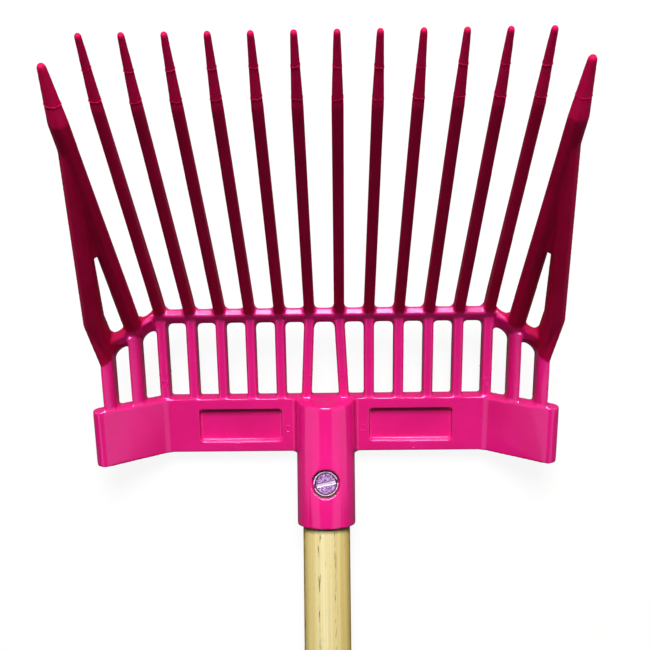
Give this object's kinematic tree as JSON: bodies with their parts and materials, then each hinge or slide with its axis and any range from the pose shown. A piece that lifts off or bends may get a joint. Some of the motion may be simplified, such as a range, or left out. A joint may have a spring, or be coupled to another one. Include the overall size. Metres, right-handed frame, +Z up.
{
  "type": "manure fork",
  "caption": "Manure fork: a moulded basket head of tapered tines with raised braced side tines, bolted to a round wooden handle.",
  "frame": {"origin": "on the handle's axis at the mouth of the socket, where the bare handle begins", "axes": "+X across the head, to the right seen from the load side; +Y along the handle towards the tines; +Z up, out of the load side, with the fork lying on its back"},
  "size_m": [0.2452, 1.0703, 0.169],
  "materials": {
    "moulded_plastic": "glossy hot-pink injection moulding",
    "handle_wood": "pale straw-coloured hardwood dowel with short dark pores, clear lacquer",
    "plated_steel": "zinc-plated steel with a faint violet tint"
  },
  "bodies": {
    "root": {"handle": "handle_wood", "header": "moulded_plastic", "heel_bar": "moulded_plastic", "bolt": "plated_steel", "barrel_nut": "plated_steel", "back_bar_1": "moulded_plastic", "back_bar_2": "moulded_plastic", "back_bar_3": "moulded_plastic", "back_bar_4": "moulded_plastic", "back_bar_5": "moulded_plastic", "back_bar_6": "moulded_plastic", "back_bar_7": "moulded_plastic", "back_bar_8": "moulded_plastic", "back_bar_9": "moulded_plastic", "back_bar_10": "moulded_plastic", "back_bar_11": "moulded_plastic", "back_bar_12": "moulded_plastic", "tine_1": "moulded_plastic", "tine_2": "moulded_plastic", "tine_3": "moulded_plastic", "tine_4": "moulded_plastic", "tine_5": "moulded_plastic", "tine_6": "moulded_plastic", "tine_7": "moulded_plastic", "tine_8": "moulded_plastic", "tine_9": "moulded_plastic", "tine_10": "moulded_plastic", "tine_11": "moulded_plastic", "tine_12": "moulded_plastic", "wing_bar_inner_left": "moulded_plastic", "wing_bar_outer_left": "moulded_plastic", "side_tine_left": "moulded_plastic", "brace_left": "moulded_plastic", "wing_bar_inner_right": "moulded_plastic", "wing_bar_outer_right": "moulded_plastic", "side_tine_right": "moulded_plastic", "brace_right": "moulded_plastic"}
  },
  "joints": []
}
